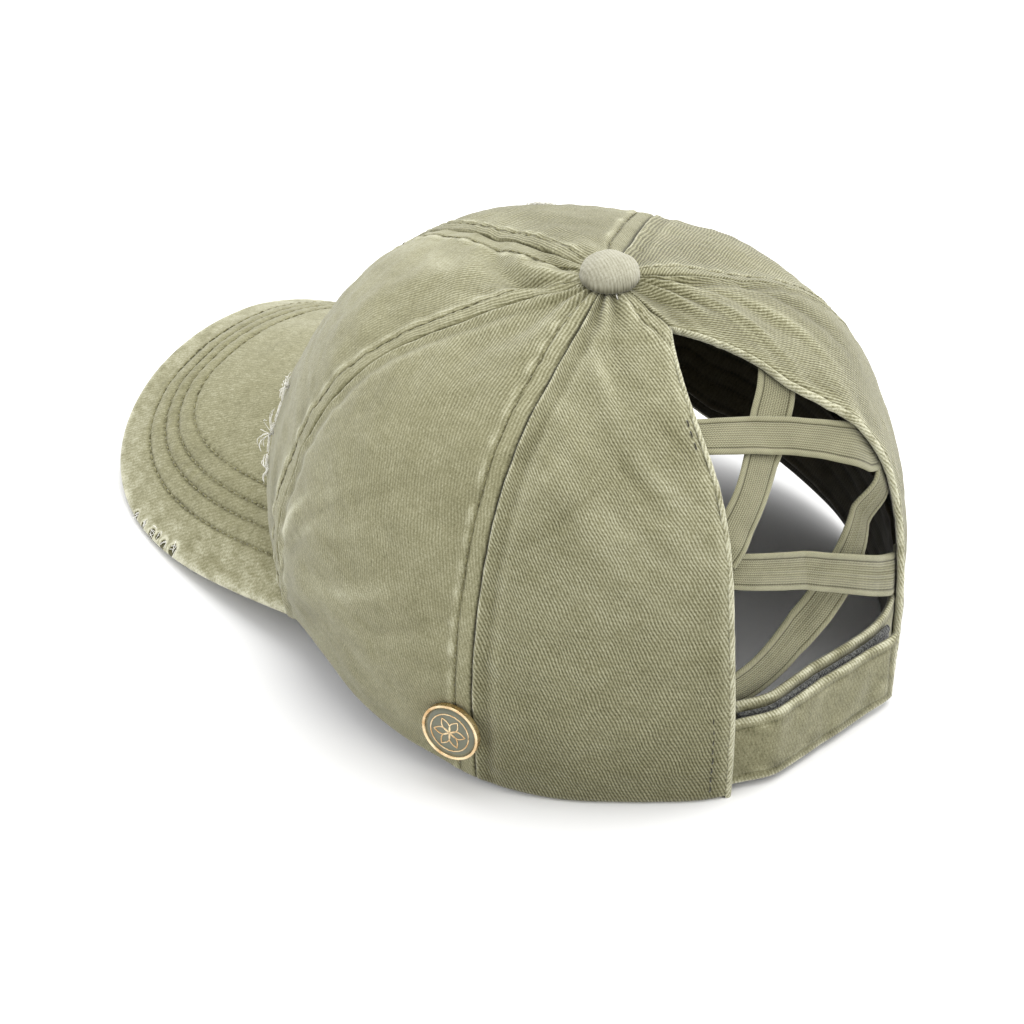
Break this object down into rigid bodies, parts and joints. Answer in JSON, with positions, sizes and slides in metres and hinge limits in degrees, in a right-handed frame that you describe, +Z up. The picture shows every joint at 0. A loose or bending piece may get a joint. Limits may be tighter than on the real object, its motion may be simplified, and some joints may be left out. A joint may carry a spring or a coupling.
{
  "type": "ponytail baseball cap",
  "caption": "Washed cotton baseball cap with curved peak, panelled crown, button, and ponytail opening crossed by elastics above a hook-and-loop closure.",
  "frame": {"origin": "on the surface that the cap rests on, below the middle of the whole cap's box", "axes": "+Z up, +Y towards the ponytail opening at the back with the peak at -Y, +X towards the wearer's left"},
  "size_m": [0.1898, 0.2656, 0.1298],
  "materials": {
    "cloth": "washed cotton twill, khaki olive, pale worn seams",
    "trim": "washed cotton twill hem and closure tabs",
    "peak_cloth": "washed cotton twill over a stiff board, stitched in rows",
    "button_cloth": "paler worn cotton twill over a metal button",
    "sweatband": "dark olive cotton band",
    "elastic": "ribbed knitted elastic",
    "hooks": "dark grey hook-and-loop tape",
    "badge_metal": "polished pale gold",
    "badge_enamel": "grey-green enamel"
  },
  "bodies": {
    "root": {"panel_front_left": "cloth", "panel_side_left": "cloth", "panel_back_left": "cloth", "panel_front_right": "cloth", "panel_side_right": "cloth", "panel_back_right": "cloth", "opening_hem": "trim", "peak": "peak_cloth", "sweatband": "sweatband", "top_button": "button_cloth", "badge_rim": "badge_metal", "badge_face": "badge_enamel", "elastic_upper": "elastic", "elastic_cross_upper": "elastic", "elastic_lower": "elastic", "elastic_cross_lower": "elastic", "closure_tab_outer": "trim", "closure_tab_inner": "trim", "hook_strip": "hooks"}
  },
  "joints": []
}
